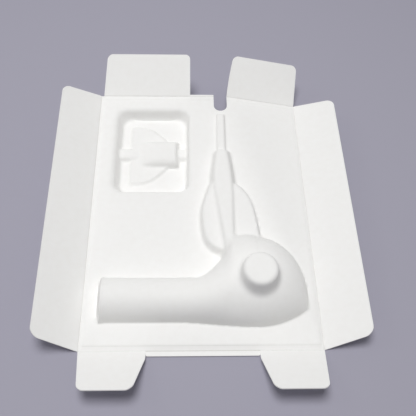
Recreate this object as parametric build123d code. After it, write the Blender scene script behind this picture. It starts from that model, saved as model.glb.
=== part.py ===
from build123d import *
import math
import os

os.makedirs("parts", exist_ok=True)

# A tray of moulded fibre that holds a hair dryer and its nozzle in half of a carton.
# One thin sheet, lying with the outside of its hollows up. Lengths are in millimetres.
# The sheet is drawn flat first: X runs to the right, Y away from the front edge,
# and Z = 0 is the upper face of its main panel.

wall = 1.2

# The dryer's barrel: half round, with a flared collar at its open end
barrel_margin = 19.0
barrel_axis = 55.3
barrel_radius = 24.2
barrel_length = 106.0
collar_flare = 2.0
collar_length = 9.0

# The fan housing: a dome on the barrel's other end, drawn out to a blunt tip in front
neck_length = 60.0
neck_overlap = 5.0
housing_lead = 25.0
housing_half_width = 56.7
housing_offset = 4.7
housing_back_reach = 68.0
housing_front_reach = 34.3
housing_height = 39.0
housing_tip_offset = 15.8
housing_tip_flat = 0.6
housing_sections = 10

# The round boss on the dome, over the fan's air inlet
boss_shift_x = 1.0
boss_shift_y = 12.4
boss_radius = 20.5
boss_rise = 15.0
boss_draft = 10.0
boss_edge_radius = 3.0

# The handle: a ridge that runs back from the dome
handle_from_housing = 33.4
handle_overlap = 28.0
handle_length = 148.5
handle_taper_length = 46.5
handle_front_width = 23.0
handle_front_shift = 4.9
handle_wide_width = 34.3
handle_back_width = 20.6
handle_front_height = 18.5
handle_back_height = 14.0
handle_corner_radius = 8.0
handle_draft = 17.0
handle_edge_radius = 5.0

# The lead's rib, from the handle to just short of the slot
rib_width = 10.9
rib_length = 57.5
rib_height = 6.0
rib_draft = 8.0
rib_edge_radius = 1.5

# The low shoulders on both sides of the handle's root
shoulder_height = 11.0
shoulder_draft = 12.0
shoulder_edge_radius = 2.5
shoulder_corner_radius = 10.0
left_shoulder_reach = 27.6
left_shoulder_overlap = 19.2
left_shoulder_length = 91.2
left_shoulder_taper = 35.0
left_shoulder_corner = 21.0
right_shoulder_reach = 42.4
right_shoulder_overlap = 28.0
right_shoulder_length = 103.0
right_shoulder_taper = 68.0
right_shoulder_bow = 10.2

# The slot in the back edge, where the mains lead leaves
slot_width = 17.3
slot_length = 23.5
slot_gap = 5.5

# The main panel, which leaves a margin round the hollows, and the bands pressed along its folds
side_margin = 13.3
crease_depth = 0.35
crease_reach = 0.8
left_crease_width = 3.6
right_crease_width = 2.6
back_crease_width = 5.5
front_crease_width = 5.5

# The panel's back right corner has sagged, along a line from the slot to the front corner
corner_sag = 20.0

# The flaps and tabs, which spring up from their folds; angles are from the level
flap_depth = 54.0
flap_corner_radius = 9.0
flap_back_mitre = 8.3
flap_front_mitre = 9.6
left_flap_angle = 38.0
right_flap_angle = 27.0
tab_corner_radius = 7.0
tab_side_taper = 6.0
back_tab_angle = 34.0
back_left_tab_gap = 2.6
back_right_tab_taper = 3.6
front_tab_angle = 37.0
front_left_tab_width = 71.3
front_right_tab_width = 68.9
front_tab_straight = 11.0
front_tab_chamfer = 10.0
back_lip = 2.6
back_lip_length = 31.4
front_lip = 5.8
front_lip_angle = 14.0
lip_corner_radius = 1.5

# The sunk tray for the nozzle, a rounded rectangle
recess_margin_left = 20.8
recess_margin_back = 22.5
recess_width = 95.7
recess_length = 122.2
recess_depth = 16.0
recess_draft = 14.0
recess_corner_radius = 15.0
recess_edge_radius = 3.0
recess_rim_radius = 2.5

# The nozzle's own form on the floor of that tray
nozzle_mouth = 21.0
nozzle_mouth_length = 85.0
nozzle_fan_length = 46.0
nozzle_fan_height = 6.0
nozzle_fan_draft = 12.0
nozzle_waist = 20.7
nozzle_waist_inset = 2.0
nozzle_edge_radius = 1.5
nozzle_sleeve_start = 34.0
nozzle_sleeve_length = 47.0
nozzle_sleeve_half = 18.0
nozzle_sleeve_height = 13.5
nozzle_channel_half = 8.0
nozzle_channel_height = 6.5
nozzle_channel_gap = 3.0

# Places that follow from the sizes above
neck_start = barrel_margin + barrel_length
housing_start = neck_start - housing_lead
housing_x = neck_start + neck_length + neck_overlap
housing_y = barrel_axis + housing_offset
housing_front = housing_y - housing_front_reach
boss_height = housing_height + boss_rise
handle_x = housing_x - handle_from_housing
handle_front = housing_y + housing_back_reach - handle_overlap
handle_back = handle_front + handle_length
rib_end = handle_back + rib_length
slot_left = handle_x - slot_width / 2
slot_right = handle_x + slot_width / 2
panel_width = housing_x + housing_half_width + side_margin
panel_length = rib_end + slot_gap + slot_length
recess_front = panel_length - recess_margin_back - recess_length
below = wall / 2
through = wall + 2.0


def softened(form, edges, radius):
    """Cuts a flat along the edges, as wide as a rounding of this radius. Under half a wall
    it would be smaller than the sheet can show, and the edge stays sharp."""
    if radius < wall / 2:
        return form
    return chamfer(edges, radius * (2 - math.sqrt(2)))


def arch_face(x, low, high, height, foot):
    """Half an ellipse across the sheet at x, whose flat side lies at the depth foot."""
    middle = (low + high) / 2
    spread = math.sqrt(1 - (foot / (height + foot)) ** 2)
    half = (high - low) / 2 / spread
    arch = EllipticalCenterArc((middle, -foot), half, height + foot, start_angle=0, arc_size=180)
    base = Line((middle - half, -foot), (middle + half, -foot))
    # The sketch's X is the sheet's Y, and its Y is the sheet's Z.
    plane = Plane(origin=(x, 0, 0), x_dir=(0, 1, 0), z_dir=(1, 0, 0))
    return plane * make_face([arch, base])


def smooth_step(start, end, value):
    share = min(max((value - start) / (end - start), 0.0), 1.0)
    return share * share * (3 - 2 * share)


def housing_section(x, inset, foot):
    """The arch across the fan housing and its neck at x."""
    front = barrel_axis - barrel_radius
    back = barrel_axis + barrel_radius
    half_width = housing_half_width - inset
    share = (x - housing_x) / half_width
    rise = smooth_step(housing_start, housing_x, x)
    low = front + (housing_front - front) * rise
    height = barrel_radius + (housing_height - barrel_radius) * rise
    reach = housing_back_reach - inset
    if x > housing_x:
        tip_y = housing_y - housing_tip_offset
        low += (tip_y - housing_front) * (share * half_width / housing_half_width) ** 2
        height = inset + (housing_height - inset) * math.sqrt(1 - share**2)
        high = housing_y + reach * math.sqrt(1 - share**2)
    else:
        neck = smooth_step(neck_start, neck_start + neck_length, x)
        high = back - inset + (housing_y + housing_back_reach - back) * neck
    return arch_face(x, low + inset, high, height - inset, foot)


def barrel_form(inset, foot):
    """The barrel and fan housing, smaller by inset all round."""
    front = barrel_axis - barrel_radius + inset
    back = barrel_axis + barrel_radius - inset
    height = barrel_radius - inset
    start = barrel_margin + inset
    collar_end = barrel_margin + collar_length
    collar_sections = []
    for share in (0.0, 0.5, 1.0):
        flare = collar_flare * (1 - share) ** 2
        x = start + share * (collar_end - start)
        collar_sections.append(arch_face(x, front - flare, back + flare, height + flare, foot))
    barrel = extrude(arch_face(collar_end, front, back, height, foot), housing_start - collar_end)
    length = housing_x + housing_half_width - inset - housing_tip_flat - housing_start
    shares = [step / housing_sections for step in range(housing_sections + 1)]
    sections = [housing_section(housing_start + length * share, inset, foot) for share in shares]
    return loft(collar_sections) + barrel + loft(sections)


def boss_form(inset):
    """The drafted round boss, which starts inside the dome."""
    sunk = housing_height / 4
    lean = math.tan(math.radians(boss_draft))
    foot_radius = boss_radius + sunk * lean - inset / math.cos(math.radians(boss_draft))
    rise = boss_rise + sunk - inset
    cone = Cone(foot_radius, foot_radius - rise * lean, rise, align=(Align.CENTER, Align.CENTER, Align.MIN))
    cone = Pos(housing_x + boss_shift_x, housing_y + boss_shift_y, housing_height - sunk) * cone
    top = cone.faces().sort_by(Axis.Z)[-1]
    return softened(cone, top.edges(), boss_edge_radius - inset)


def dryer_form(inset, foot):
    """The barrel, the fan housing and the boss."""
    return barrel_form(inset, foot) + boss_form(inset)


def rounded(points, radii, inset):
    """A convex outline, drawn anticlockwise, moved inwards, with some corners rounded."""
    moved = []
    for index, corner in enumerate(points):
        before = Vector(*points[index - 1])
        here = Vector(*corner)
        after = Vector(*points[(index + 1) % len(points)])
        arriving = (here - before).normalized()
        leaving = (after - here).normalized()
        inwards = Vector(-arriving.Y, arriving.X) + Vector(-leaving.Y, leaving.X)
        turn = 1 + arriving.dot(leaving)
        moved.append(here + inwards * (inset / turn))
    sketch = make_face(Polyline(*moved, close=True))
    for corner, radius in zip(moved, radii):
        if radius > inset:
            vertex = sketch.vertices().sort_by_distance(corner)[0]
            sketch = fillet(vertex, radius - inset)
    return sketch


def raised(points, radii, height, draft, edge_radius, inset, foot, roof=None):
    """A form raised from an outline: drafted walls, a flat top and a softened top edge.
    A roof, where there is one, cuts the top off at a slope, and its edge is rounded outside."""
    outline = rounded(points, radii, inset / math.cos(math.radians(draft)))
    form = extrude(outline, height - inset if roof is None else height, taper=draft)
    if roof is not None:
        form = split(form, bisect_by=roof, keep=Keep.BOTTOM)
    top = form.faces().sort_by(Axis.Z)[-1]
    if roof is not None and inset == 0:
        form = fillet(top.edges(), edge_radius)
    else:
        form = softened(form, top.edges(), edge_radius - inset)
    if foot > 0:
        form = form + extrude(outline, -foot)
    return form


def handle_form(inset, foot):
    """The handle's ridge, whose top slopes down towards its end."""
    front_x = handle_x + handle_front_shift
    wide_y = handle_back - handle_taper_length
    points = [
        (front_x - handle_front_width / 2, handle_front),
        (front_x + handle_front_width / 2, handle_front),
        (handle_x + handle_wide_width / 2, wide_y),
        (handle_x + handle_back_width / 2, handle_back),
        (handle_x - handle_back_width / 2, handle_back),
        (handle_x - handle_wide_width / 2, wide_y),
    ]
    radii = [0, 0, 0, handle_corner_radius, handle_corner_radius, 0]
    slope = math.atan2(handle_front_height - handle_back_height, handle_length)
    roof = Plane(
        origin=(0, handle_front, handle_front_height - inset),
        z_dir=(0, math.sin(slope), math.cos(slope)),
    )
    height = handle_front_height + wall
    return raised(points, radii, height, handle_draft, handle_edge_radius, inset, foot, roof)


def rib_form(inset, foot):
    """The rib over the mains lead, which starts inside the handle."""
    start = handle_back - handle_back_height
    left, right = handle_x - rib_width / 2, handle_x + rib_width / 2
    points = [(left, start), (right, start), (right, rib_end), (left, rib_end)]
    radii = [0, 0, 0, 0]
    return raised(points, radii, rib_height, rib_draft, rib_edge_radius, inset, foot)


def left_shoulder_form(inset, foot):
    """The low shoulder on the left, with a straight side and a cut-back near corner."""
    front = housing_y + housing_back_reach - left_shoulder_overlap
    back = front + left_shoulder_length
    edge = handle_x - left_shoulder_reach
    corner = left_shoulder_corner
    points = [
        (handle_x, front),
        (handle_x, back),
        (handle_x - handle_wide_width / 2, back),
        (edge, back - left_shoulder_taper),
        (edge, front + corner),
        (edge + corner / 2, front),
    ]
    radii = [0, 0, 0, 0, shoulder_corner_radius, shoulder_corner_radius]
    return raised(points, radii, shoulder_height, shoulder_draft, shoulder_edge_radius, inset, foot)


def right_shoulder_form(inset, foot):
    """The low shoulder on the right, which narrows beside the handle."""
    front = housing_y + housing_back_reach - right_shoulder_overlap
    back = front + right_shoulder_length
    edge = handle_x + right_shoulder_reach
    taper = right_shoulder_taper
    beside = handle_x + handle_wide_width / 2
    points = [
        (handle_x, front),
        (edge, front),
        (edge, back - taper),
        (edge - right_shoulder_bow, back - taper / 2),
        (beside, back),
        (handle_x, back),
    ]
    radii = [0, 0, 0, 0, 0, 0]
    return raised(points, radii, shoulder_height, shoulder_draft, shoulder_edge_radius, inset, foot)


def recess_form(inset):
    """The sunk tray as a solid below the panel's upper face, smaller by inset all round."""
    left, right = recess_margin_left, recess_margin_left + recess_width
    back = recess_front + recess_length
    points = [(left, recess_front), (right, recess_front), (right, back), (left, back)]
    radii = [recess_corner_radius] * 4
    form = raised(points, radii, recess_depth, recess_draft, recess_edge_radius, inset, 0.0)
    return mirror(form, about=Plane.XY)


def recess_rim(sheet):
    """The edges round the sunk tray's mouth, in the panel's upper face."""
    middle = (recess_margin_left + recess_width / 2, recess_front + recess_length / 2)
    rim = []
    for edge in sheet.edges():
        centre = edge.center()
        beside = abs(centre.X - middle[0]) < recess_width / 2 + wall
        along = abs(centre.Y - middle[1]) < recess_length / 2 + wall
        if beside and along and abs(centre.Z) < crease_depth / 2:
            rim.append(edge)
    return rim


def round_ridge(start, end, middle, half, height, inset, foot):
    """Part of a cylinder along X, this wide and high above the floor of the sunk tray."""
    radius = (half**2 + height**2) / (2 * height)
    axis = height - recess_depth - radius
    ridge = Cylinder(radius - inset, end - start - 2 * inset, rotation=(0, 90, 0))
    ridge = Pos((start + end) / 2, middle, axis) * ridge
    return split(ridge, bisect_by=Plane(origin=(0, 0, -recess_depth - foot)), keep=Keep.TOP)


def nozzle_form(inset, foot):
    """The flat nozzle, lying in the sunk tray: a fan, its round sleeve and a finger channel."""
    left, right = recess_margin_left, recess_margin_left + recess_width
    middle = recess_front + recess_length / 2
    mouth = left + nozzle_mouth
    throat = mouth + nozzle_fan_length
    waist = mouth + nozzle_waist
    half = nozzle_mouth_length / 2
    waist_half = half - nozzle_waist_inset
    points = [
        (mouth, middle - half),
        (waist, middle - waist_half),
        (throat, middle - nozzle_sleeve_half),
        (throat, middle + nozzle_sleeve_half),
        (waist, middle + waist_half),
        (mouth, middle + half),
    ]
    radii = [0, 0, 0, 0, 0, 0]
    fan = raised(points, radii, nozzle_fan_height, nozzle_fan_draft, nozzle_edge_radius, inset, foot)
    fan = Pos(0, 0, -recess_depth) * fan
    start = left + nozzle_sleeve_start
    end = start + nozzle_sleeve_length
    sleeve = round_ridge(start, end, middle, nozzle_sleeve_half, nozzle_sleeve_height, inset, foot)
    start, end = left + nozzle_channel_gap, right - nozzle_channel_gap
    channel = round_ridge(start, end, middle, nozzle_channel_half, nozzle_channel_height, inset, foot)
    return fan + sleeve + channel


def plate(points, radii):
    """A flat piece of the sheet, under Z = 0, with an outline drawn anticlockwise."""
    return extrude(rounded(points, radii, 0.0), -wall)


def flap(points, radii, start, end, angle):
    """A flap turned up about the crease from start to end, with the round outside of its fold.

    The crease runs clockwise round the panel, and so does the turn.
    """
    start = Vector(*start)
    end = Vector(*end)
    down = Vector(0, 0, -wall)
    crease = Axis(start, end - start)
    edge = make_face(Polyline(start, end, end + down, start + down, close=True))
    return plate(points, radii).rotate(crease, angle) + revolve(edge, axis=crease, revolution_arc=angle)


def left_flap():
    length, depth = panel_length, flap_depth
    points = [(0, 0), (0, length), (-depth, length - flap_back_mitre), (-depth, flap_front_mitre)]
    # Drawn clockwise from its crease, so it is turned round to run anticlockwise.
    radii = [flap_corner_radius, flap_corner_radius, 0, 0]
    return flap(points[::-1], radii, (0, 0), (0, length), left_flap_angle)


def right_flap(fall):
    """The right flap, on a panel that falls towards it by this angle."""
    width, length, depth = panel_width, panel_length, flap_depth
    outer = width + depth
    points = [(width, length), (width, 0), (outer, flap_front_mitre), (outer, length - flap_back_mitre)]
    radii = [0, 0, flap_corner_radius, flap_corner_radius]
    return flap(points, radii, (width, length), (width, 0), right_flap_angle + fall)


def back_left_tab():
    length, outer = panel_length, panel_length + flap_depth
    start, end = back_left_tab_gap, slot_left - back_lip_length
    points = [(start, length), (end, length), (end, outer), (start + tab_side_taper, outer)]
    radii = [0, 0, lip_corner_radius, tab_corner_radius]
    return flap(points, radii, (start, length), (end, length), back_tab_angle)


def back_right_tab(fall):
    """The right one of the back tabs, on a panel that falls backwards by this angle."""
    length, outer = panel_length, panel_length + flap_depth
    start, end = slot_right, panel_width
    points = [(start, length), (end, length), (end - back_right_tab_taper, outer), (start + tab_side_taper, outer)]
    radii = [0, 0, tab_corner_radius, tab_corner_radius]
    return flap(points, radii, (start, length), (end, length), back_tab_angle + fall)


def front_tab(start, end, inner, outer):
    """A front tab between two ends: tapered outside, and cut back inside after a straight."""
    side = 1 if outer > inner else -1
    depth, straight = flap_depth, front_tab_straight
    points = [
        (inner, 0),
        (inner, -straight),
        (inner + side * front_tab_chamfer, -depth),
        (outer - side * tab_side_taper, -depth),
        (outer, 0),
    ]
    radii = [0, tab_corner_radius, tab_corner_radius, tab_corner_radius, 0]
    if side < 0:
        points, radii = points[::-1], radii[::-1]
    return flap(points, radii, (end, 0), (start, 0), front_tab_angle)


def front_lip_strip():
    """The narrow strip between the two front tabs, turned up a little."""
    start, end = front_left_tab_width, panel_width - front_right_tab_width
    points = [(end, 0), (start, 0), (start, -front_lip), (end, -front_lip)]
    radii = [0, 0, lip_corner_radius, lip_corner_radius]
    return flap(points, radii, (end, 0), (start, 0), front_lip_angle)


def crease_bands():
    """The shallow bands pressed along the four folds, reaching just over each fold."""
    width, length = panel_width, panel_length
    height = crease_depth + crease_reach
    left = Box(left_crease_width + crease_reach, length, height, align=(Align.MIN, Align.MIN, Align.MIN))
    right = Box(right_crease_width + crease_reach, length, height, align=(Align.MAX, Align.MIN, Align.MIN))
    back = Box(width, back_crease_width + crease_reach, height, align=(Align.MIN, Align.MAX, Align.MIN))
    front = Box(width, front_crease_width + crease_reach, height, align=(Align.MIN, Align.MIN, Align.MIN))
    bands = Pos(-crease_reach, 0, -crease_depth) * left
    bands += Pos(width + crease_reach, 0, -crease_depth) * right
    bands += Pos(0, length + crease_reach, -crease_depth) * back
    bands += Pos(0, -crease_reach, -crease_depth) * front
    return bands


def level_part():
    """The panel up to the sag's line, with the flaps, tabs and lips that join it."""
    width, length = panel_width, panel_length
    part = plate([(0, 0), (width, 0), (slot_right, length), (0, length)], [0, 0, 0, 0])
    lip_start, lip_end = slot_left - back_lip_length, slot_left
    outer = length + back_lip
    lip = [(lip_start, length), (lip_end, length), (lip_end, outer), (lip_start, outer)]
    part += plate(lip, [0, 0, back_lip / 2, 0])
    slot = SlotOverall(slot_length * 2, slot_width, rotation=90)
    part -= Pos(handle_x, length, -wall) * extrude(slot, 2 * wall)
    part += left_flap() + back_left_tab() + front_lip_strip()
    part += front_tab(0, front_left_tab_width, front_left_tab_width, 0)
    right_start = width - front_right_tab_width
    part += front_tab(right_start, width, right_start, width)
    return part - crease_bands()


def sagging_part():
    """The panel's back right corner, with its flap and tab, bent down along the sag's line."""
    width, length = panel_width, panel_length
    across = width - slot_right
    part = plate([(width, 0), (width, length), (slot_right, length)], [0, 0, 0])
    part += right_flap(math.degrees(math.atan(corner_sag / across)))
    part += back_right_tab(math.degrees(math.atan(corner_sag / length)))
    part -= crease_bands()
    line = Vector(-across, length)
    reach = across * length / line.length
    return part.rotate(Axis((width, 0, 0), line), math.degrees(math.asin(corner_sag / reach)))


def moulded_sheet():
    sheet = level_part() + sagging_part()
    sheet += recess_form(-wall)
    sheet -= recess_form(0.0)
    sheet = softened(sheet, recess_rim(sheet), recess_rim_radius)
    sheet += nozzle_form(0.0, below)
    forms = [handle_form, rib_form, left_shoulder_form, right_shoulder_form]
    # The dome stands a little over the sag's line, so its foot goes deeper than the others'.
    sheet += dryer_form(0.0, through - wall)
    for form in forms:
        sheet += form(0.0, below)
    sheet -= dryer_form(wall, through)
    for form in forms:
        sheet -= form(wall, through)
    sheet -= nozzle_form(wall, through)
    return sheet


def resting_tilt():
    """How far the sheet leans back, in degrees, when it lies on its front folds and on the
    near edge of the sunk tray's underside."""
    lean = math.radians(recess_draft)
    bottom = recess_depth + wall
    flat = (recess_edge_radius + wall) * (2 - math.sqrt(2))
    near = recess_front - wall / math.cos(lean) + bottom * math.tan(lean) + flat
    return math.degrees(math.atan2(bottom, near) - math.asin(wall / math.hypot(near, bottom)))


tray = Rot(X=resting_tilt()) * moulded_sheet()
box = tray.bounding_box()
tray = Pos(-round(box.center().X, 2), -round(box.center().Y, 2), -box.min.Z) * tray
export_step(tray, "parts/tray.step")
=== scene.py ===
import math

import bpy
import numpy as np
from mathutils import Matrix, Vector


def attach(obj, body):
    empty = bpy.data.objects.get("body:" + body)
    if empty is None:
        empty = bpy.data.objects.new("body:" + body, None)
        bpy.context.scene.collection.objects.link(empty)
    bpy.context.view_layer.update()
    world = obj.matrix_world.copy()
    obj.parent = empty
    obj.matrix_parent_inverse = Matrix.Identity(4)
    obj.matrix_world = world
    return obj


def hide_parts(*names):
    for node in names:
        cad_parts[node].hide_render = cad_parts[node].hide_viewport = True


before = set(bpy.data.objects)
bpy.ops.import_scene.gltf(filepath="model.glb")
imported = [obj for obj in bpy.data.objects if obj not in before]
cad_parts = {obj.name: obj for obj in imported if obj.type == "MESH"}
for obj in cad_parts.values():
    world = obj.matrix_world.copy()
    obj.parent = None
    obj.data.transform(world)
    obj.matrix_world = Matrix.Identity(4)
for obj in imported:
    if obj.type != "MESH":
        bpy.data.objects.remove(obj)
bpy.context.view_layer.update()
scene = bpy.context.scene

# The camera. It looks down on the panel from in front at 63 degrees, from about 0.64 m, as one
# sees the tray when standing close to the table. Its place is given in the sheet's own frame:
# X right, Y away from the front edge, Z = 0 the panel's upper face, in millimetres.
EYE = (120.82, -122.97, 574.03)
AHEAD = Vector((0.02741898, 0.4523259, -0.89143114))
YAW = math.radians(3.469)
ROLL = math.radians(3.095)
LENS = 46.73

# The tray leans back on its front folds and on the underside of the sunk tray, so every point of
# the sheet's frame is turned about X and put down on the table.
LEAN = math.radians(4.6702)
PUT_DOWN = np.array([-132.68, -165.75, 1.205])
TURN = np.array(
    [[1, 0, 0], [0, math.cos(LEAN), -math.sin(LEAN)], [0, math.sin(LEAN), math.cos(LEAN)]]
)


def on_table(points):
    """Points of the sheet's own frame, in millimetres, as they lie on the table, in metres."""
    return (np.asarray(points, float) @ TURN.T + PUT_DOWN) / 1000


level = Vector((math.cos(YAW), -math.sin(YAW), 0))
upwards = level.cross(AHEAD)
right = math.cos(ROLL) * level + math.sin(ROLL) * upwards
above = -math.sin(ROLL) * level + math.cos(ROLL) * upwards
turned = Matrix(TURN.tolist())
camera_data = bpy.data.cameras.new("camera")
camera_data.sensor_width = 36
camera_data.lens = LENS
camera_data.clip_start = 0.01
camera = bpy.data.objects.new("camera", camera_data)
axes = Matrix((turned @ right, turned @ above, turned @ -AHEAD)).transposed()
camera.matrix_world = Matrix.Translation(Vector(on_table(EYE))) @ axes.to_4x4()
scene.collection.objects.link(camera)
scene.camera = camera

# The table. A board with matt paint in a pale lilac grey, under and all round the tray. Matt paint
# has next to no gloss, so it shows one even tone and the tray's soft shadow.
TABLE_COLOUR = "#ACAAB8"
TABLE_HALF = 4.0


def linear(colour):
    """A colour written as sRGB hex, in the linear values that a shader takes."""
    parts = [int(colour[i : i + 2], 16) / 255 for i in (1, 3, 5)]
    return [c / 12.92 if c <= 0.04045 else ((c + 0.055) / 1.055) ** 2.4 for c in parts] + [1.0]


painted_board = bpy.data.materials.new("painted_board")
painted_board.use_nodes = True
board_shader = painted_board.node_tree.nodes["Principled BSDF"]
board_shader.inputs["Base Color"].default_value = linear(TABLE_COLOUR)
board_shader.inputs["Roughness"].default_value = 0.9
board_shader.inputs["Specular IOR Level"].default_value = 0.1
board_mesh = bpy.data.meshes.new("table")
board_sides = [(-1, -1), (1, -1), (1, 1), (-1, 1)]
board_mesh.from_pydata([(x * TABLE_HALF, y * TABLE_HALF, 0) for x, y in board_sides], [], [(0, 1, 2, 3)])
board_mesh.materials.append(painted_board)
table = bpy.data.objects.new("table", board_mesh)
scene.collection.objects.link(table)


# The light, as over a copy stand: a diffuser 0.9 m wide above the table and a little to the left,
# a weak window on the left and a dim, even room. The white sheet itself throws much of the light
# back and forth.
def lamp(name, place, size, power):
    """A round, soft lamp that is aimed at the tray's middle. Its place and size are in metres."""
    data = bpy.data.lights.new(name, "AREA")
    data.shape = "DISK"
    data.size = size
    data.energy = power
    made = bpy.data.objects.new(name, data)
    made.rotation_euler = (-Vector(place)).to_track_quat("-Z", "Y").to_euler()
    made.location = place
    scene.collection.objects.link(made)


lamp("diffuser", place=(-0.15, 0.08, 1.9), size=0.9, power=23.0)
lamp("window", place=(-1.4, 0.3, 1.3), size=0.6, power=1.0)
world = bpy.data.worlds.new("room")
world.use_nodes = True
room_light = world.node_tree.nodes["Background"]
room_light.inputs["Color"].default_value = linear("#FFFFFF")
room_light.inputs["Strength"].default_value = 0.25
scene.world = world

# The tray is one sheet of thermoformed fibre. Hot moulds press the wet fibre, which leaves smooth
# faces, drafted walls and a soft radius wherever two faces meet. Its largest form is the dryer's
# hollow, seen from outside: a half-round barrel with a flared collar, a domed housing, a blunt tip.
BARREL = {"end": 19.0, "edge": 1.5, "axis": 55.3, "radius": 24.2, "flare": 2.0, "collar": 9.0}
NECK = (125.0, 185.0)
HOUSING = {"x": 190.0, "y": 60.0, "half": 56.7, "back": 68.0, "front": 25.7, "height": 39.0}
HOUSING_START = 100.0
TIP_Y = 44.2
TIP_FLAT = 0.6

# The housing's back outline swells out where the handle leaves it, and this fades to the right.
SWELL = {"out": 15.0, "start": 152.0, "full": 166.0, "fades_from": 164.0, "fades_over": 11.0}


def common(a, b, radius):
    """What two solids share, with the edge between their faces rounded."""
    reach = np.hypot(np.maximum(radius + a, 0), np.maximum(radius + b, 0))
    return np.minimum(-radius, np.maximum(a, b)) + reach


def eased(start, end, value):
    """A share that rises smoothly from 0 at start to 1 at end."""
    share = np.clip((value - start) / (end - start), 0, 1)
    return share * share * (3 - 2 * share)


def arch(u, v, w):
    """A value that is 0 on the barrel and housing, under 0 inside and over 0 outside."""
    front = BARREL["axis"] - BARREL["radius"]
    back = BARREL["axis"] + BARREL["radius"]
    past = np.clip((u - HOUSING["x"]) / HOUSING["half"], 0, 1)
    narrowest = 1e-4
    closing = np.sqrt(np.maximum(1 - past**2, narrowest))
    rise = eased(HOUSING_START, HOUSING["x"], u)
    low = front + (HOUSING["front"] - front) * rise + (TIP_Y - HOUSING["front"]) * past**2
    height = (BARREL["radius"] + (HOUSING["height"] - BARREL["radius"]) * rise) * closing
    fading = np.exp(-np.maximum(u - SWELL["fades_from"], 0) / SWELL["fades_over"])
    swollen = SWELL["out"] * eased(SWELL["start"], SWELL["full"], u) * fading
    behind = back + (HOUSING["y"] + HOUSING["back"] - back) * eased(*NECK, u) + swollen
    high = np.where(u > HOUSING["x"], HOUSING["y"] + HOUSING["back"] * closing, behind)
    flare = BARREL["flare"] * (1 - np.clip((u - BARREL["end"]) / BARREL["collar"], 0, 1)) ** 2
    low = low - flare
    high = high + flare
    height = height + flare
    half = (high - low) / 2
    return np.sqrt(((v - (low + high) / 2) / half) ** 2 + (w / height) ** 2) - 1


def dryer(u, v, w):
    """How far points lie outside the barrel and housing."""
    tip = HOUSING["x"] + HOUSING["half"] - TIP_FLAT
    inside_u = np.minimum(u, tip)
    step = 0.05
    flattest = 1e-3
    here = arch(inside_u, v, w)
    slope = np.sqrt(
        ((here - arch(inside_u - step, v, w)) / step) ** 2
        + ((arch(inside_u, v + step, w) - here) / step) ** 2
        + ((arch(inside_u, v, w + step) - here) / step) ** 2
    )
    distance = here / np.maximum(slope, flattest)
    distance = np.where(u > tip, np.hypot(np.maximum(distance, 0), u - tip), distance)
    return common(distance, BARREL["end"] - u, BARREL["edge"])


# The form for the fan's air inlet, a round boss on top of the dome. It is pressed in the same
# stroke as the dome, with drafted sides, a rounded rim and a soft root.
BOSS = {"x": 191.0, "y": 72.4, "radius": 20.5, "height": 54.0, "draft": 10.0, "edge": 3.0, "root": 4.0}


def boss(u, v, w):
    """How far points lie outside the boss."""
    lean = math.radians(BOSS["draft"])
    radius = BOSS["radius"] - (w - HOUSING["height"]) * math.tan(lean)
    side = (np.hypot(u - BOSS["x"], v - BOSS["y"]) - radius) * math.cos(lean)
    return common(side, w - BOSS["height"], BOSS["edge"])


# The handle's ridge, which falls a little towards its end, and behind it the rib for the mains
# lead. Both are raised out of the panel with leaning walls and rounded upper edges.
HANDLE = {
    "outline": [(153.5, 100), (173, 100), (173.8, 202), (166.6, 248.5), (146, 248.5), (139.5, 202)],
    "start": 100.0,
    "end": 248.5,
    "height": 18.5,
    "end_height": 14.0,
    "draft": 21.0,
    "corner": 4.0,
    "edge": 2.8,
    "root": 5.0,
}
RIB = {
    "outline": [(150.7, 234.5), (161.7, 234.5), (161.7, 304.4), (150.7, 304.4)],
    "height": 4.6,
    "draft": 8.0,
    "corner": 0.6,
    "edge": 0.6,
    "root": 1.2,
}


def walls(u, v, w, form):
    """How far points lie outside the leaning walls over a form's convex outline."""
    lean = math.radians(form["draft"])
    corners = form["outline"]
    distance = None
    for (ax, ay), (bx, by) in zip(corners, corners[1:] + corners[:1]):
        length = math.hypot(bx - ax, by - ay)
        outwards = ((u - ax) * (by - ay) - (v - ay) * (bx - ax)) / length
        wall = (outwards + w * math.tan(lean)) * math.cos(lean)
        distance = wall if distance is None else common(distance, wall, form["corner"])
    return distance


def handle(u, v, w):
    """How far points lie outside the handle's ridge, whose roof slopes."""
    slope = math.atan2(HANDLE["height"] - HANDLE["end_height"], HANDLE["end"] - HANDLE["start"])
    roof = (w - HANDLE["height"] + (v - HANDLE["start"]) * math.tan(slope)) * math.cos(slope)
    return common(walls(u, v, w, HANDLE), roof, HANDLE["edge"])


def raised(u, v, w, form):
    """How far points lie outside a form with a flat roof."""
    return common(walls(u, v, w, form), w - form["height"], form["edge"])


# The two low shoulders beside the handle's root, which leave room for the dryer's hinge guards.
# They are flat on top and run into the handle and the housing; the left one has a softer root.
LEFT_SHOULDER = {
    "outline": [(162, 106.5), (162, 200), (139.5, 200), (128.4, 165), (128.4, 143), (130.0, 131)]
    + [(133.8, 120.4), (139.4, 113.2), (146.4, 108.4), (154, 106.5)],
    "height": 11.0,
    "draft": 18.0,
    "corner": 3.0,
    "edge": 1.3,
    "root": 3.5,
}
RIGHT_SHOULDER = {
    "outline": [(162, 100), (200.6, 112), (199.4, 134), (196.7, 153.7), (193.2, 170), (187.8, 183)]
    + [(181.5, 191.5), (174, 198), (162, 198)],
    "height": 12.8,
    "draft": 12.0,
    "corner": 3.0,
    "edge": 1.3,
    "root": 1.2,
}

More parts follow.
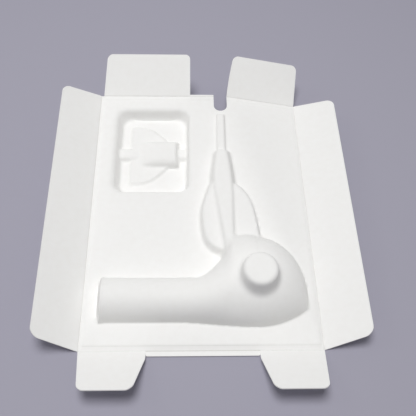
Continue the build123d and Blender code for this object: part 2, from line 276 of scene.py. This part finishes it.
# The sunk tray for the flat nozzle, pressed down from the panel with sloped walls and round
# corners. On its floor stands the nozzle's own form: a low fan, a sleeve that rises from it, and
# a finger channel along its middle, which gets lower and narrower over the fan.
SUNK = {"left": 22.6, "right": 116.0, "front": 190.6, "back": 312.7, "depth": 16.0}
SUNK_DRAFTS = {"left": 23.0, "right": 14.0, "front": 14.0, "back": 18.0}
SUNK_COSINE = 0.95
SUNK_CORNER = 13.0
SUNK_FOOT = 1.2
NOZZLE_MIDDLE = 251.4
FAN_SIDE = [(89.6, 18.8), (79, 29.6), (69, 38.0), (57, 42.5), (40.4, 43.4)]
FAN = {
    "outline": [(x, -y) for x, y in FAN_SIDE[::-1]] + FAN_SIDE,
    "height": 3.2,
    "draft": 12.0,
    "corner": 1.0,
    "edge": 0.8,
    "root": 0.8,
}
SLEEVE = {"half": 18.0, "height": 12.5, "start": 46.0, "full": 74.0, "end": 103.3, "root": 0.8}
SLEEVE_LOWEST = 0.25
CHANNEL = {"half": 8.0, "height": 5.8, "start": 22.0, "end": 115.0, "root": 1.0}
CHANNEL_FADE = {"start": 42.0, "end": 68.0, "until": 80.0, "height": 0.45, "half": 0.3}
RIDGE_POWER = 3
RIDGE_END_LEAN = 0.35
RIDGE_END_COSINE = 0.94
RIDGE_EDGE = 0.8


def sunk(u, v, w):
    """How far points lie outside the hollow of the sunk tray."""
    run = {side: -w * math.tan(math.radians(draft)) for side, draft in SUNK_DRAFTS.items()}
    across = np.maximum(SUNK["left"] + run["left"] - u, u - SUNK["right"] + run["right"])
    along = np.maximum(SUNK["front"] + run["front"] - v, v - SUNK["back"] + run["back"])
    across = across + SUNK_CORNER
    along = along + SUNK_CORNER
    outside = np.hypot(np.maximum(across, 0), np.maximum(along, 0))
    edge = outside + np.minimum(np.maximum(across, along), 0) - SUNK_CORNER
    return common(edge * SUNK_COSINE, -w - SUNK["depth"], SUNK_FOOT)


def ridge(u, v, w, start, end, half, height):
    """A ridge along X with steep sides, a flattened top and leaning ends."""
    ring = ((np.abs(v) / half) ** RIDGE_POWER + (np.abs(w) / height) ** RIDGE_POWER) ** (1 / RIDGE_POWER) - 1
    ends = np.maximum(start - u, (u + RIDGE_END_LEAN * w - end) * RIDGE_END_COSINE)
    return common(ring * height, ends, RIDGE_EDGE)


def fused(a, b, radius):
    """Two solids as one, with a fillet of this radius in the angle between them."""
    reach = np.hypot(np.maximum(radius - a, 0), np.maximum(radius - b, 0))
    return np.maximum(radius, np.minimum(a, b)) - reach


def nozzle(u, v, w):
    """How far points lie outside the nozzle's fan, sleeve and finger channel."""
    y = v - NOZZLE_MIDDLE
    z = w + SUNK["depth"]
    rising = SLEEVE_LOWEST + (1 - SLEEVE_LOWEST) * eased(SLEEVE["start"], SLEEVE["full"], u)
    sleeve = ridge(u, y, z, SLEEVE["start"], SLEEVE["end"], SLEEVE["half"], SLEEVE["height"] * rising)
    fading = eased(CHANNEL_FADE["start"], CHANNEL_FADE["end"], u) * (u < CHANNEL_FADE["until"])
    half = CHANNEL["half"] * (1 - CHANNEL_FADE["half"] * fading)
    height = CHANNEL["height"] * (1 - CHANNEL_FADE["height"] * fading)
    channel = ridge(u, y, z, CHANNEL["start"], CHANNEL["end"], half, height)
    form = fused(raised(u, y, z, FAN), sleeve, SLEEVE["root"])
    return fused(form, channel, CHANNEL["root"])


# The panel and its creases. Beside the four folds the moulds press bands half a millimetre deep,
# where the sheet bends, and each fold is a narrow groove. Shade is painted as a grey tint into the
# creases and along the front and back bands' edges: the lip's fold most, the tabs' folds least.
WIDTH, LENGTH = 260.0, 335.0
BANDS = {"left": 3.6, "right": 2.6, "back": 5.5, "front": 5.5}
BAND_DEPTH = 0.5
BAND_SLOPE = 0.5
GROOVE_DEPTH = 0.9
GROOVE_HALF = 0.8
FRONT_LIP = (71.3, 191.1)
# How strong the painted shade is at each kind of crease, as a share of the full grey tint.
CREASE_SHADE = {"lip": 1.0, "sides": 0.35, "flaps": 0.3, "tabs": 0.2, "bands": 0.4}
BAND_SHADE_HALF = 0.6
BACK_BAND_NARROWER = 1.4
TOUCHING = 1e-6


def nearness(distance, half):
    """1 on a line, and evenly down to 0 at this distance from it."""
    return np.clip(1 - distance / half, 0, 1)


def pressed_depth(u, v):
    """How deep the panel's upper face is pressed in by its bands and by each fold's groove."""
    inwards = [u - BANDS["left"], WIDTH - u - BANDS["right"]]
    inwards += [LENGTH - v - BANDS["back"], v - BANDS["front"]]
    band = eased(-BAND_SLOPE, BAND_SLOPE, np.minimum.reduce(inwards))
    fold = np.minimum.reduce([u, WIDTH - u, v, LENGTH - v])
    return BAND_DEPTH * (1 - band) + (GROOVE_DEPTH - BAND_DEPTH) * nearness(fold, GROOVE_HALF)


def shade_in_creases(u, v):
    """How much painted shade the panel's creases and band edges get, as a share of the full grey."""
    lip = (u > FRONT_LIP[0] - TOUCHING) & (u < FRONT_LIP[1] + TOUCHING)
    fold = np.minimum.reduce([u, WIDTH - u, LENGTH - v])
    sides = CREASE_SHADE["sides"] * nearness(fold, GROOVE_HALF)
    front = np.where(lip, CREASE_SHADE["lip"], CREASE_SHADE["tabs"]) * nearness(v, GROOVE_HALF)
    inside = (u > BANDS["left"]) & (u < WIDTH - BANDS["right"])
    back_band = BACK_BAND_NARROWER * np.abs(LENGTH - v - BANDS["back"])
    bands = np.minimum(np.abs(v - BANDS["front"]), back_band)
    return np.maximum(sides, front) + CREASE_SHADE["bands"] * inside * nearness(bands, BAND_SHADE_HALF)


# The upper face, on which all the forms run into the panel and into each other with round roots.
# The sunk tray's rim is rounder at its left wall, which leans the most.
ROOT_RADIUS = 1.6
SUNK_RIM = {"radius": 2.8, "more_at_left": 1.5, "left": 22.0, "right": 60.0}


def outside_tray(p):
    """How far points lie above the tray's upper face."""
    u, v, w = p.T
    form = fused(dryer(u, v, w), boss(u, v, w), BOSS["root"])
    form = fused(form, handle(u, v, w), HANDLE["root"])
    for low_form in (LEFT_SHOULDER, RIGHT_SHOULDER, RIB):
        form = fused(form, raised(u, v, w, low_form), low_form["root"])
    at_left = 1 - eased(SUNK_RIM["left"], SUNK_RIM["right"], u)
    ground = common(w, -sunk(u, v, w), SUNK_RIM["radius"] + SUNK_RIM["more_at_left"] * at_left)
    return fused(fused(ground, form, ROOT_RADIUS), nozzle(u, v, w), FAN["root"])


def slope_of(p):
    """The distance at each point, and how it changes along X, Y and Z."""
    step = 0.02
    here = outside_tray(p)
    slope = np.empty_like(p)
    for axis in range(3):
        moved = p.copy()
        moved[:, axis] += step
        slope[:, axis] = (outside_tray(moved) - here) / step
    return here, slope


def settled(p, rounds):
    """Points moved along the slope until they lie on the tray's upper face."""
    flattest = 0.05
    for _ in range(rounds):
        here, slope = slope_of(p)
        size = np.maximum((slope**2).sum(1), flattest)
        p = p - (here / size)[:, None] * slope
    return p


# The panel's points. A grid whose lines crowd together at the folds and over the raised forms,
# with the lead's slot left out, drops onto the tray's upper face. Then each point spreads along
# it with its neighbours, so that steep walls get as many points as flat ground.
SLOT = {"left": 147.95, "right": 165.25, "length": 23.5}
BACK_LIP = (116.8, SLOT["left"])
DRYER_SPAN = (17.0, 250.0)
DOME_FRONT = (14.0, 36.0)
HANDLE_SPAN = (132.0, 188.0)
SUNK_BACK_RIM = (311.5, 314.5)
GROOVE_LINES = [0, 0.4, 0.9]
UNDIVIDED = 9.0
COARSE = 3.2
MIDDLE = 2.3
FINE = 1.62
FINEST = 0.85
KEPT_FLAT = 8.0
DROP_FROM = 62.0
DROPS = 70
LONGEST_DROP = 8.0
LONGEST_RISE = 0.5
SPREADS = 80
SPREAD_SHARE = 0.5


def spread(marks, spacings):
    """Grid lines that pass through the marks, with about this spacing between each two."""
    lines = [marks[0]]
    for start, end, spacing in zip(marks, marks[1:], spacings):
        count = max(1, round((end - start) / spacing))
        lines += [start + (end - start) * step / count for step in range(1, count + 1)]
    return np.array(lines)


def fold_lines(size, low_band, high_band):
    """The grid's lines at two opposite folds: three in each groove and three at each band's edge."""
    low = GROOVE_LINES + [low_band - BAND_SLOPE, low_band, low_band + BAND_SLOPE]
    high = [size - high_band - BAND_SLOPE, size - high_band, size - high_band + BAND_SLOPE]
    return low, high + [size - line for line in GROOVE_LINES[::-1]]


low_u, high_u = fold_lines(WIDTH, BANDS["left"], BANDS["right"])
low_v, high_v = fold_lines(LENGTH, BANDS["front"], BANDS["back"])
inner_u = [DRYER_SPAN[0], FRONT_LIP[0], *BACK_LIP, SLOT["right"], FRONT_LIP[1], DRYER_SPAN[1]]
inner_v = [*DOME_FRONT, *HANDLE_SPAN, *SUNK_BACK_RIM]
at_fold = [UNDIVIDED] * 5
lines_u = spread(low_u + inner_u + high_u, at_fold + [COARSE] + [FINE] * 6 + [COARSE] + at_fold)
lines_v = spread(
    low_v + inner_v + high_v, at_fold + [COARSE, FINEST, FINE, MIDDLE, FINE, FINE, COARSE] + at_fold
)
columns, rows = len(lines_u), len(lines_v)
flat_u, flat_v = np.meshgrid(lines_u, lines_v)
points = np.stack([flat_u.ravel(), flat_v.ravel(), np.zeros(columns * rows)], 1)
middle_u = (flat_u[:-1, :-1] + flat_u[:-1, 1:]) / 2
middle_v = (flat_v[:-1, :-1] + flat_v[1:, :-1]) / 2
slot_end = LENGTH - SLOT["length"]
kept = ~((middle_u > SLOT["left"]) & (middle_u < SLOT["right"]) & (middle_v > slot_end))
corner = np.arange(columns * rows).reshape(rows, columns)
quads = np.stack([corner[:-1, :-1], corner[:-1, 1:], corner[1:, 1:], corner[1:, :-1]], -1)[kept]

# The slot's far end is round: the points on its border there move onto a half circle.
slot_radius = (SLOT["right"] - SLOT["left"]) / 2
slot_centre = np.array([SLOT["left"] + slot_radius, slot_end + slot_radius])
beside = np.abs(points[:, 0] - slot_centre[0]) < slot_radius + TOUCHING
below = (points[:, 1] > slot_end - TOUCHING) & (points[:, 1] < slot_centre[1])
offset = points[:, :2] - slot_centre
reach = np.maximum(np.hypot(*offset.T), TOUCHING)
round_end = beside & below
points[round_end, :2] = slot_centre + (offset / reach[:, None] * slot_radius)[round_end]

# Points on the slot's border and near the panel's own borders stay where the grid has them.
edges = np.sort(np.vstack([quads[:, [0, 1]], quads[:, [1, 2]], quads[:, [2, 3]], quads[:, [3, 0]]]), 1)
edges, uses = np.unique(edges, axis=0, return_counts=True)
on_sheet = np.zeros(len(points), bool)
on_sheet[np.unique(quads)] = True
held = ~on_sheet
held[np.unique(edges[uses == 1])] = True
from_border = np.minimum.reduce([points[:, 0], WIDTH - points[:, 0], points[:, 1], LENGTH - points[:, 1]])
held |= from_border < KEPT_FLAT
free = ~held
neighbours = np.bincount(edges.ravel(), minlength=len(points)).astype(float)
neighbours = np.maximum(neighbours, 1)[:, None]

points[:, 2] = DROP_FROM
for _ in range(DROPS):
    points[:, 2] -= np.clip(outside_tray(points), -LONGEST_RISE, LONGEST_DROP)
points = settled(points, 2)
for _ in range(SPREADS):
    total = np.zeros_like(points)
    for axis in range(3):
        total[:, axis] = np.bincount(edges[:, 0], points[edges[:, 1], axis], len(points))
        total[:, axis] += np.bincount(edges[:, 1], points[edges[:, 0], axis], len(points))
    moved = points + SPREAD_SHARE * (total / neighbours - points)
    points[free] = settled(moved[free], 1)
points[free] = settled(points[free], 2)
points[from_border < KEPT_FLAT, 2] = 0

# The flaps, tabs and lips. Each one carries on from its part of a fold, turns up round a small
# radius and runs on flat; the ends are mitred and the outer corners rounded by the cutting die.
SIDES = {"left": (0, 0.0, -1), "right": (0, WIDTH, 1), "front": (1, 0.0, -1), "back": (1, LENGTH, 1)}
FLAP_DEPTH = 54.0
BEND_RADIUS = 1.5
BEND_ROWS = [0.45, 0.9, 1.5]
ROW_STEP = 3.4
ROW_GAP = 0.5
CORNER_ROWS = (0, 0.3, 0.55, 0.75, 0.9, 1)
BACK_TAB_START = BANDS["left"] - BAND_SLOPE
FRONT_TAB_STRAIGHT = 11.0
FRONT_TAB_CUT = 10.0

all_points = [points]
all_quads = [quads]
all_depths = [pressed_depth(points[:, 0], points[:, 1])]
# The shade painted into the creases, point by point.
all_painted_shades = [shade_in_creases(points[:, 0], points[:, 1])]


def border(axis, line, start, end):
    """The grid's points along one side, from start to end."""
    along = points[:, 1 - axis]
    on_line = np.abs(points[:, axis] - line) < TOUCHING
    within = (along > start - TOUCHING) & (along < end + TOUCHING)
    found = np.where(on_line & within & on_sheet)[0]
    return found[np.argsort(along[found])]


def rounded_corner(near, far, radius):
    """Moves points that are near a square corner onto a round one."""
    if not radius:
        return near, far
    a = np.clip(1 - near / radius, 0, 1)
    b = np.clip(1 - far / radius, 0, 1)
    round_a = a * np.sqrt(1 - b * b / 2)
    round_b = b * np.sqrt(1 - a * a / 2)
    return near + (a - round_a) * radius, far + (b - round_b) * radius


def add_flap(side, start, end, ends, angle, radii, depth=FLAP_DEPTH, step=ROW_STEP, painted_shade=CREASE_SHADE["flaps"]):
    """A flap on one side of the panel. ends gives how far each end has drawn in at a depth."""
    axis, line, outwards = SIDES[side]
    base = border(axis, line, start, end)
    along = points[base, 1 - axis]
    share = (along - along[0]) / (along[-1] - along[0])
    turn = math.radians(angle)
    arc = turn * BEND_RADIUS
    row_count = max(2, round((depth - BEND_ROWS[-1]) / step))
    row_depths = BEND_ROWS + list(np.linspace(BEND_ROWS[-1], depth, row_count + 1)[1:])
    if depth == FLAP_DEPTH:
        curve = max(radii)
        row_depths = [d for d in row_depths if d < depth - curve - ROW_GAP]
        row_depths += [depth - curve * (1 - s) for s in CORNER_ROWS]
    first = sum(len(part) for part in all_points)
    layers = [base]
    made = []
    for row_depth in row_depths:
        low_in, high_in = ends(row_depth)
        low = along[0] + low_in
        high = along[-1] - high_in
        place = low + share * (high - low)
        from_edge = np.full_like(place, depth - row_depth)
        from_low, edge_low = rounded_corner(place - low, from_edge, radii[0])
        from_high, edge_high = rounded_corner(high - place, from_edge, radii[1])
        near_low = share < 0.5
        reached = depth - np.where(near_low, edge_low, edge_high)
        turned_by = np.minimum(reached / BEND_RADIUS, turn)
        straight = np.maximum(reached - arc, 0)
        out = BEND_RADIUS * np.sin(turned_by) + straight * math.cos(turn)
        layer = np.zeros((len(base), 3))
        layer[:, axis] = line + outwards * out
        layer[:, 1 - axis] = np.where(near_low, low + from_low, high - from_high)
        layer[:, 2] = BEND_RADIUS * (1 - np.cos(turned_by)) + straight * math.sin(turn)
        made.append(layer)
        layers.append(np.arange(first, first + len(base)))
        first += len(base)
        all_depths.append(GROOVE_DEPTH * nearness(reached, GROOVE_HALF))
        # Painted shade in the flap's fold groove.
        all_painted_shades.append(painted_shade * nearness(reached, GROOVE_HALF))
    all_points.append(np.vstack(made))
    faces = [np.stack([a[:-1], a[1:], b[1:], b[:-1]], 1) for a, b in zip(layers, layers[1:])]
    faces = np.vstack(faces)
    flip = (outwards > 0) == (axis == 0)
    all_quads.append(faces[:, ::-1] if flip else faces)


def mitred(low, high):
    """Ends that draw in evenly, by these lengths at the free edge of a flap."""

    def ends(row_depth):
        return low * row_depth / FLAP_DEPTH, high * row_depth / FLAP_DEPTH

    return ends


def front_tab(taper, inner_low):
    """A front tab's ends: tapered outside, and inside straight at first and then cut back."""

    def ends(row_depth):
        outer = taper * row_depth / FLAP_DEPTH
        past_straight = max(row_depth - FRONT_TAB_STRAIGHT, 0)
        inner = FRONT_TAB_CUT * past_straight / (FLAP_DEPTH - FRONT_TAB_STRAIGHT)
        return (inner, outer) if inner_low else (outer, inner)

    return ends


add_flap("left", 0, LENGTH, mitred(9.6, 8.3), angle=38.0, radii=(9.0, 9.0))
add_flap("right", 0, LENGTH, mitred(9.6, 8.3), angle=38.9, radii=(9.0, 9.0))
add_flap("back", BACK_TAB_START, BACK_LIP[0], mitred(6.0, 0.0), angle=34.0, radii=(7.0, 6.0))
add_flap("back", SLOT["right"], WIDTH, mitred(2.4, 3.6), angle=37.4, radii=(7.0, 7.0))
add_flap("front", 0, FRONT_LIP[0], front_tab(8.2, inner_low=False), angle=37.0, radii=(7.0, 7.0))
add_flap("front", FRONT_LIP[1], WIDTH, front_tab(6.0, inner_low=True), angle=37.0, radii=(7.0, 7.0))
add_flap("back", *BACK_LIP, mitred(0, 0), angle=0.01, radii=(0.0, 1.0), depth=2.6, step=0.6)
add_flap(
    "front", *FRONT_LIP, mitred(0, 0), angle=14.0, radii=(1.5, 1.5), depth=5.8, step=1.1, painted_shade=CREASE_SHADE["lip"]
)

sheet_points = np.vstack(all_points)
sheet_quads = np.vstack(all_quads)

# The back right corner of the panel has sagged, with its flap and tab, beyond a line from the
# slot to the front right corner. The bend is soft at the slot and sharper towards the front, and
# the stiff raised forms keep their shape.
SAG = 20.0
BEND_HALF = {"front": 0.4, "more_at_back": 12.0, "softens_from": 20.0, "softens_to": 200.0}
STIFF_HEIGHT = 5.0

sag_width = WIDTH - SLOT["right"]
line_length = math.hypot(sag_width, LENGTH)
away = np.array([LENGTH, sag_width, 0]) / line_length
beyond = (sheet_points - [WIDTH, 0, 0]) @ away
at_back = eased(BEND_HALF["softens_from"], BEND_HALF["softens_to"], sheet_points[:, 1])
softness = BEND_HALF["front"] + BEND_HALF["more_at_back"] * at_back
bent = np.where(beyond > softness, beyond, np.clip(beyond + softness, 0, None) ** 2 / (4 * softness))
fall = math.asin(SAG * line_length / (sag_width * LENGTH))
lift = sheet_points[:, 2].copy()
stays = np.clip(lift / STIFF_HEIGHT, 0, 1)
stays[len(points) :] = 0
bent = bent * (1 - stays)
angle = fall * np.clip((beyond + softness) / (2 * softness), 0, 1) * (1 - stays)
sheet_points += (lift * np.sin(angle) - bent * (1 - math.cos(fall)))[:, None] * away
sheet_points[:, 2] = lift * np.cos(angle) - bent * math.sin(fall)

used = np.unique(sheet_quads)
number = np.full(len(sheet_points), -1)
number[used] = np.arange(len(used))
tray_mesh = bpy.data.meshes.new("tray_sheet")
tray_mesh.from_pydata(on_table(sheet_points[used]).tolist(), [], number[sheet_quads].tolist())
tray_mesh.validate()
tray = bpy.data.objects.new("tray_sheet", tray_mesh)
scene.collection.objects.link(tray)
tray_mesh.shade_smooth()

# The wall, 1.2 mm of pressed fibre everywhere, is laid under the upper face. The mould's ribs
# then press the grooves and bands into the upper face alone, whose points come first in the mesh.
WALL = 1.2
SHARP_ANGLE = math.radians(50)

wall = tray.modifiers.new("wall", "SOLIDIFY")
wall.thickness = WALL / 1000
wall.offset = -1
wall.use_even_offset = True
wall.use_quality_normals = True
bpy.context.view_layer.update()
seen = tray.evaluated_get(bpy.context.evaluated_depsgraph_get())
walled_mesh = bpy.data.meshes.new_from_object(seen)
tray.modifiers.clear()
tray.data = walled_mesh

places = np.empty(len(walled_mesh.vertices) * 3)
walled_mesh.vertices.foreach_get("co", places)
places = places.reshape(-1, 3)
places[: len(used)] -= np.concatenate(all_depths)[used][:, None] * TURN[:, 2] / 1000
walled_mesh.vertices.foreach_set("co", places.ravel())
# The painted shade of the creases goes onto the upper face's points as an attribute; the under face gets
# none.
painted_shades = np.zeros(len(places))
painted_shades[: len(used)] = np.concatenate(all_painted_shades)[used]
painted_crease_shade = walled_mesh.attributes.new("painted_crease_shade", "FLOAT", "POINT")
painted_crease_shade.data.foreach_set("value", painted_shades)
walled_mesh.set_sharp_from_angle(angle=SHARP_ANGLE)

# The sheet's fibre. Bleached cane pulp pressed hot between polished moulds: white with a trace of
# cream, satin-matt, with a fine felt of fibres and soft clouds where the pulp lay thicker. The
# fibres are drawn 0.9 mm across, far coarser than they are, so that they show.
PULP_WHITE = "#FCFCFB"
PULP_CREAM = "#F7F6F4"
# The grey of the shade painted into the creases.
PULP_SHADE_GREY = "#DDDCD8"
CLOUD_MM = 7.0
FIBRE_MM = 0.9


def node(tree, kind, settings, sockets):
    """Adds a shader node; a socket takes a value, or another node's output."""
    made = tree.nodes.new(kind)
    for name, value in settings.items():
        setattr(made, name, value)
    for name, value in sockets.items():
        if isinstance(value, bpy.types.NodeSocket):
            tree.links.new(value, made.inputs[name])
        else:
            made.inputs[name].default_value = value
    return made


pulp = bpy.data.materials.new("thermoformed_cane_pulp")
pulp.use_nodes = True
tree = pulp.node_tree
shader = tree.nodes["Principled BSDF"]
shader.inputs["Roughness"].default_value = 0.62
shader.inputs["Specular IOR Level"].default_value = 0.3
shader.inputs["IOR"].default_value = 1.5
place = node(tree, "ShaderNodeTexCoord", {}, {}).outputs["Object"]
clouds = node(
    tree,
    "ShaderNodeTexNoise",
    {},
    {"Vector": place, "Scale": 1000 / CLOUD_MM, "Detail": 3.0, "Roughness": 0.55},
)
fibres = node(
    tree,
    "ShaderNodeTexNoise",
    {},
    {"Vector": place, "Scale": 1000 / FIBRE_MM, "Detail": 2.0, "Roughness": 0.6},
)

# Sockets 0, 6 and 7 of a mix node are its share and its two colours, and output 2 is the result.
tint = node(
    tree,
    "ShaderNodeMix",
    {"data_type": "RGBA"},
    {0: clouds.outputs["Fac"], 6: linear(PULP_CREAM), 7: linear(PULP_WHITE)},
)
# Painted shade: the attribute mixes the grey into the creases and the bands' edges.
crease_shade_share = node(tree, "ShaderNodeAttribute", {"attribute_name": "painted_crease_shade"}, {})
tint_with_shade = node(
    tree,
    "ShaderNodeMix",
    {"data_type": "RGBA"},
    {0: crease_shade_share.outputs["Fac"], 6: tint.outputs[2], 7: linear(PULP_SHADE_GREY)},
)
felt = node(
    tree, "ShaderNodeBump", {}, {"Strength": 0.12, "Distance": 0.0001, "Height": fibres.outputs["Fac"]}
)
tree.links.new(tint_with_shade.outputs[2], shader.inputs["Base Color"])
tree.links.new(felt.outputs["Normal"], shader.inputs["Normal"])
walled_mesh.materials.clear()
walled_mesh.materials.append(pulp)

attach(tray, "root")
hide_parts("tray")

# The scene's own settings.
scene.view_settings.view_transform = "Standard"
bpy.context.view_layer.update()
